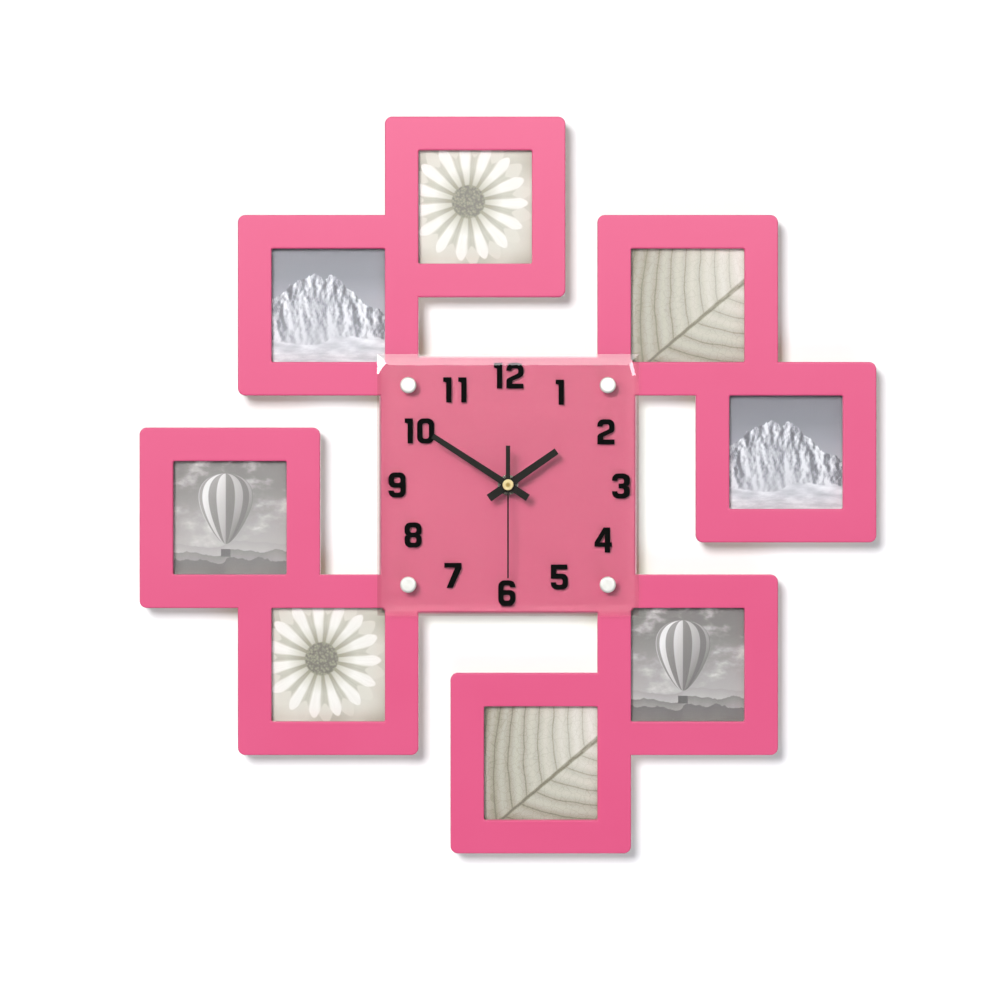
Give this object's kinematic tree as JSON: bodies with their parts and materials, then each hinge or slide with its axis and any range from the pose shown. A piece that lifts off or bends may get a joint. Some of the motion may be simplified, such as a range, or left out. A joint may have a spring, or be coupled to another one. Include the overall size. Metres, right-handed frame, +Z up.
{
  "type": "photo frame clock",
  "caption": "Wall clock with a square bevelled glass dial, analogue hands and a geared quartz movement, ringed by a pinwheel of square photo frames cut from one lacquered board.",
  "frame": {"origin": "on the wall plane, on the line the hands turn on", "axes": "+X to the right seen from the front, +Y into the wall, +Z up"},
  "size_m": [0.5, 0.0392, 0.5],
  "materials": {
    "board_lacquer": "satin pink lacquer sprayed on fibreboard",
    "clear_pane": "clear cast acrylic",
    "hardboard": "pressed brown hardboard",
    "zinc_steel": "zinc-plated pressed steel",
    "dial_glass": "clear float glass with a polished bevel",
    "clear_nylon": "natural nylon",
    "satin_cap": "satin silver plating",
    "movement_black": "moulded black plastic, fine spark texture",
    "rubber_black": "moulded black rubber",
    "brass": "turned brass",
    "nickel": "nickel plate",
    "hand_black": "black paint, slightly satin",
    "acetal_white": "moulded white acetal",
    "magnet": "sintered magnet",
    "soft_iron": "stamped soft iron",
    "copper_wire": "enamelled copper winding",
    "circuit_green": "glass-fibre circuit board",
    "cell_jacket": "printed shrink sleeve, plain",
    "print_top": "photographic paper, monochrome picture",
    "print_upper_right": "photographic paper, monochrome picture",
    "print_right": "photographic paper, monochrome picture",
    "print_lower_right": "photographic paper, monochrome picture",
    "print_bottom": "photographic paper, monochrome picture",
    "print_lower_left": "photographic paper, monochrome picture",
    "print_left": "photographic paper, monochrome picture",
    "print_upper_left": "photographic paper, monochrome picture"
  },
  "bodies": {
    "clock": {"frame_board": "board_lacquer", "glazing_panes": "clear_pane", "backing_boards": "hardboard", "turn_button_screws": "zinc_steel", "dial_glass": "dial_glass", "dial_spacers": "clear_nylon", "dial_screws": "zinc_steel", "screw_caps": "satin_cap", "movement_case": "movement_black", "movement_cover": "movement_black", "rubber_gasket": "rubber_black", "nut_washer": "nickel", "mounting_nut": "nickel", "battery_contacts": "nickel", "circuit_board": "circuit_green", "quartz_crystal": "nickel", "stator": "soft_iron", "coil_core": "soft_iron", "coil": "copper_wire", "photo_print_top": "print_top", "photo_print_upper_right": "print_upper_right", "photo_print_right": "print_right", "photo_print_lower_right": "print_lower_right", "photo_print_bottom": "print_bottom", "photo_print_lower_left": "print_lower_left", "photo_print_left": "print_left", "photo_print_upper_left": "print_upper_left"},
    "second_hand": {"second_wheel": "acetal_white", "second_hand": "hand_black", "second_hand_boss": "brass"},
    "minute_hand": {"centre_wheel": "acetal_white", "minute_hand": "hand_black"},
    "hour_hand": {"hour_wheel": "acetal_white", "hour_hand": "hand_black"},
    "third_wheel": {"third_wheel": "acetal_white"},
    "intermediate_wheel": {"intermediate_wheel": "acetal_white"},
    "rotor": {"rotor": "magnet"},
    "minute_wheel": {"minute_wheel": "acetal_white"},
    "setting_knob": {"setting_knob": "movement_black"},
    "battery": {"battery": "cell_jacket"},
    "turn_button_top_left": {"turn_button_top_left": "zinc_steel"},
    "turn_button_top_right": {"turn_button_top_right": "zinc_steel"},
    "turn_button_upper_right_left": {"turn_button_upper_right_left": "zinc_steel"},
    "turn_button_upper_right_right": {"turn_button_upper_right_right": "zinc_steel"},
    "turn_button_right_left": {"turn_button_right_left": "zinc_steel"},
    "turn_button_right_right": {"turn_button_right_right": "zinc_steel"},
    "turn_button_lower_right_left": {"turn_button_lower_right_left": "zinc_steel"},
    "turn_button_lower_right_right": {"turn_button_lower_right_right": "zinc_steel"},
    "turn_button_bottom_left": {"turn_button_bottom_left": "zinc_steel"},
    "turn_button_bottom_right": {"turn_button_bottom_right": "zinc_steel"},
    "turn_button_lower_left_left": {"turn_button_lower_left_left": "zinc_steel"},
    "turn_button_lower_left_right": {"turn_button_lower_left_right": "zinc_steel"},
    "turn_button_left_left": {"turn_button_left_left": "zinc_steel"},
    "turn_button_left_right": {"turn_button_left_right": "zinc_steel"},
    "turn_button_upper_left_left": {"turn_button_upper_left_left": "zinc_steel"},
    "turn_button_upper_left_right": {"turn_button_upper_left_right": "zinc_steel"}
  },
  "joints": [
    {"name": "second_hand_turn", "type": "hinge", "parent": "clock", "child": "second_hand", "pos_m": [0, 0, 0], "axis": [0, 1, 0], "continuous": true},
    {"name": "minute_hand_turn", "type": "hinge", "parent": "clock", "child": "minute_hand", "pos_m": [0, 0, 0], "axis": [0, 1, 0], "continuous": true},
    {"name": "hour_hand_turn", "type": "hinge", "parent": "clock", "child": "hour_hand", "pos_m": [0, 0, 0], "axis": [0, 1, 0], "continuous": true},
    {"name": "third_wheel_turn", "type": "hinge", "parent": "clock", "child": "third_wheel", "pos_m": [-0.01159, 0, 0.00311], "axis": [0, 1, 0], "continuous": true},
    {"name": "intermediate_wheel_turn", "type": "hinge", "parent": "clock", "child": "intermediate_wheel", "pos_m": [0.00613, 0, 0.01061], "axis": [0, 1, 0], "continuous": true},
    {"name": "rotor_turn", "type": "hinge", "parent": "clock", "child": "rotor", "pos_m": [0.01692, 0, 0.01061], "axis": [0, 1, 0], "continuous": true},
    {"name": "minute_wheel_turn", "type": "hinge", "parent": "clock", "child": "minute_wheel", "pos_m": [0.009, 0, 0], "axis": [0, 1, 0], "continuous": true},
    {"name": "setting_knob_turn", "type": "hinge", "parent": "clock", "child": "setting_knob", "pos_m": [0.01934, 0, -0.00182], "axis": [0, 1, 0], "continuous": true},
    {"name": "battery_slide", "type": "slide", "parent": "clock", "child": "battery", "axis": [0, 1, 0], "range_m": [0, 0.02]},
    {"name": "turn_button_top_left_turn", "type": "hinge", "parent": "clock", "child": "turn_button_top_left", "pos_m": [-0.06975, 0, 0.18875], "axis": [0, 1, 0], "continuous": true},
    {"name": "turn_button_top_right_turn", "type": "hinge", "parent": "clock", "child": "turn_button_top_right", "pos_m": [0.02525, 0, 0.18875], "axis": [0, 1, 0], "continuous": true},
    {"name": "turn_button_upper_right_left_turn", "type": "hinge", "parent": "clock", "child": "turn_button_upper_right_left", "pos_m": [0.0745, 0, 0.122], "axis": [0, 1, 0], "continuous": true},
    {"name": "turn_button_upper_right_right_turn", "type": "hinge", "parent": "clock", "child": "turn_button_upper_right_right", "pos_m": [0.1695, 0, 0.122], "axis": [0, 1, 0], "continuous": true},
    {"name": "turn_button_right_left_turn", "type": "hinge", "parent": "clock", "child": "turn_button_right_left", "pos_m": [0.14125, 0, 0.02225], "axis": [0, 1, 0], "continuous": true},
    {"name": "turn_button_right_right_turn", "type": "hinge", "parent": "clock", "child": "turn_button_right_right", "pos_m": [0.23625, 0, 0.02225], "axis": [0, 1, 0], "continuous": true},
    {"name": "turn_button_lower_right_left_turn", "type": "hinge", "parent": "clock", "child": "turn_button_lower_right_left", "pos_m": [0.0745, 0, -0.122], "axis": [0, 1, 0], "continuous": true},
    {"name": "turn_button_lower_right_right_turn", "type": "hinge", "parent": "clock", "child": "turn_button_lower_right_right", "pos_m": [0.1695, 0, -0.122], "axis": [0, 1, 0], "continuous": true},
    {"name": "turn_button_bottom_left_turn", "type": "hinge", "parent": "clock", "child": "turn_button_bottom_left", "pos_m": [-0.02525, 0, -0.18875], "axis": [0, 1, 0], "continuous": true},
    {"name": "turn_button_bottom_right_turn", "type": "hinge", "parent": "clock", "child": "turn_button_bottom_right", "pos_m": [0.06975, 0, -0.18875], "axis": [0, 1, 0], "continuous": true},
    {"name": "turn_button_lower_left_left_turn", "type": "hinge", "parent": "clock", "child": "turn_button_lower_left_left", "pos_m": [-0.1695, 0, -0.122], "axis": [0, 1, 0], "continuous": true},
    {"name": "turn_button_lower_left_right_turn", "type": "hinge", "parent": "clock", "child": "turn_button_lower_left_right", "pos_m": [-0.0745, 0, -0.122], "axis": [0, 1, 0], "continuous": true},
    {"name": "turn_button_left_left_turn", "type": "hinge", "parent": "clock", "child": "turn_button_left_left", "pos_m": [-0.23625, 0, -0.02225], "axis": [0, 1, 0], "continuous": true},
    {"name": "turn_button_left_right_turn", "type": "hinge", "parent": "clock", "child": "turn_button_left_right", "pos_m": [-0.14125, 0, -0.02225], "axis": [0, 1, 0], "continuous": true},
    {"name": "turn_button_upper_left_left_turn", "type": "hinge", "parent": "clock", "child": "turn_button_upper_left_left", "pos_m": [-0.1695, 0, 0.122], "axis": [0, 1, 0], "continuous": true},
    {"name": "turn_button_upper_left_right_turn", "type": "hinge", "parent": "clock", "child": "turn_button_upper_left_right", "pos_m": [-0.0745, 0, 0.122], "axis": [0, 1, 0], "continuous": true}
  ],
  "couplings": [
    {"joint": "minute_hand_turn", "follows": "second_hand_turn", "ratio": 0.016667},
    {"joint": "hour_hand_turn", "follows": "second_hand_turn", "ratio": 0.0013889},
    {"joint": "third_wheel_turn", "follows": "second_hand_turn", "ratio": -0.13333},
    {"joint": "intermediate_wheel_turn", "follows": "second_hand_turn", "ratio": -6},
    {"joint": "rotor_turn", "follows": "second_hand_turn", "ratio": 30},
    {"joint": "minute_wheel_turn", "follows": "second_hand_turn", "ratio": -0.0055556},
    {"joint": "setting_knob_turn", "follows": "second_hand_turn", "ratio": 0.01}
  ]
}
